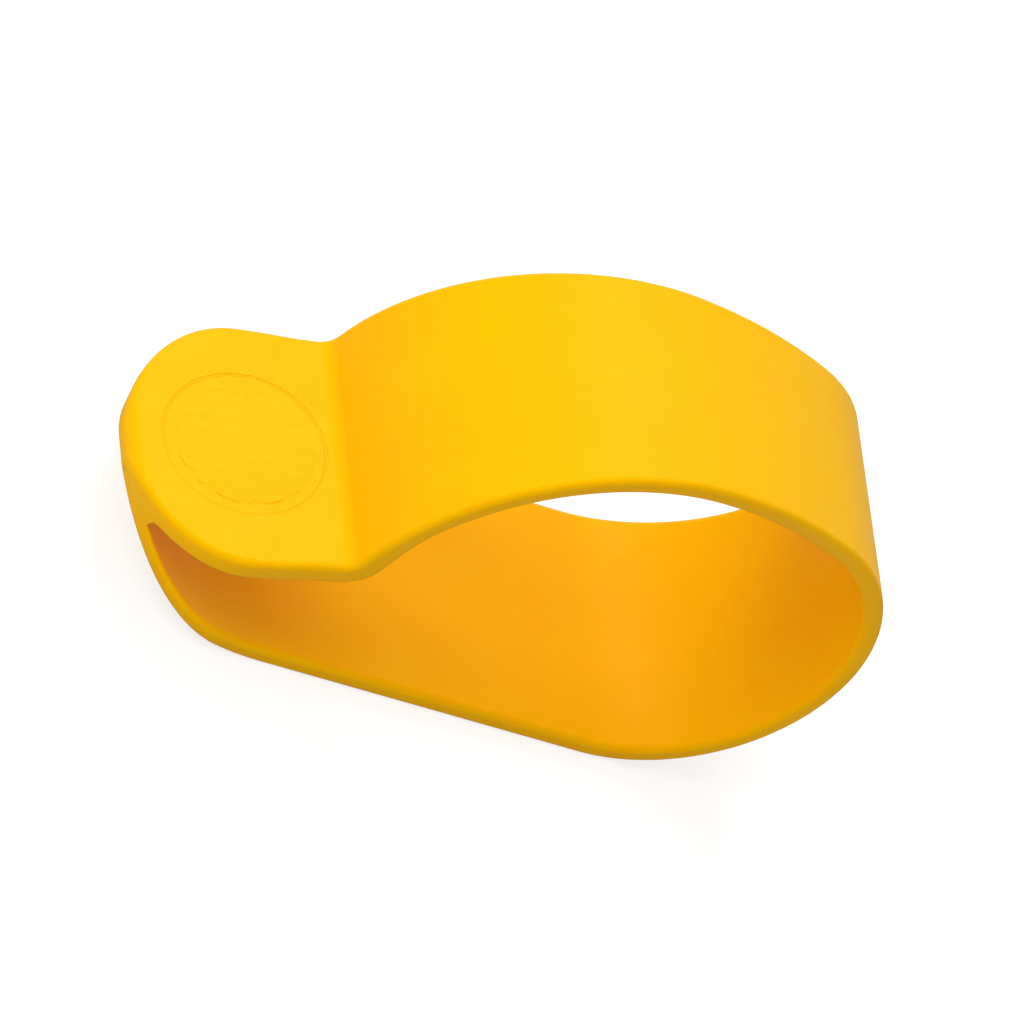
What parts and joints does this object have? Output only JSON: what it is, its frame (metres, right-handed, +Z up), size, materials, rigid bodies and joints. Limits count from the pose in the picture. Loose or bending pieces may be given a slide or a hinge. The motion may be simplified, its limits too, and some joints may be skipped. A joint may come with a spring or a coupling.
{
  "type": "closed silicone wristband with transponder head",
  "caption": "Closed-loop moulded silicone wristband in yellow, with a thick round head that holds a sealed transponder under a waffle-textured cap.",
  "frame": {"origin": "middle of the flat outer face that the loop rests on", "axes": "+Z up from the resting face; +Y along the loop's axis, across the band; +X along the flat stretch from the head's end towards the heel"},
  "size_m": [0.0823, 0.03, 0.0441],
  "materials": {
    "silicone": "satin matte moulded silicone",
    "glass_fibre": "satin laminate",
    "copper": "etched copper foil",
    "gold_plate": "gold flash plating",
    "silicon": "ground silicon",
    "resin": "cured epoxy drop"
  },
  "bodies": {
    "root": {"band": "silicone", "head_cap": "silicone", "carrier_disc": "glass_fibre", "antenna_coil": "copper", "bridge_track": "copper", "through_pins": "copper", "contact_pads": "gold_plate", "chip": "silicon", "resin_drop": "resin"}
  },
  "joints": []
}
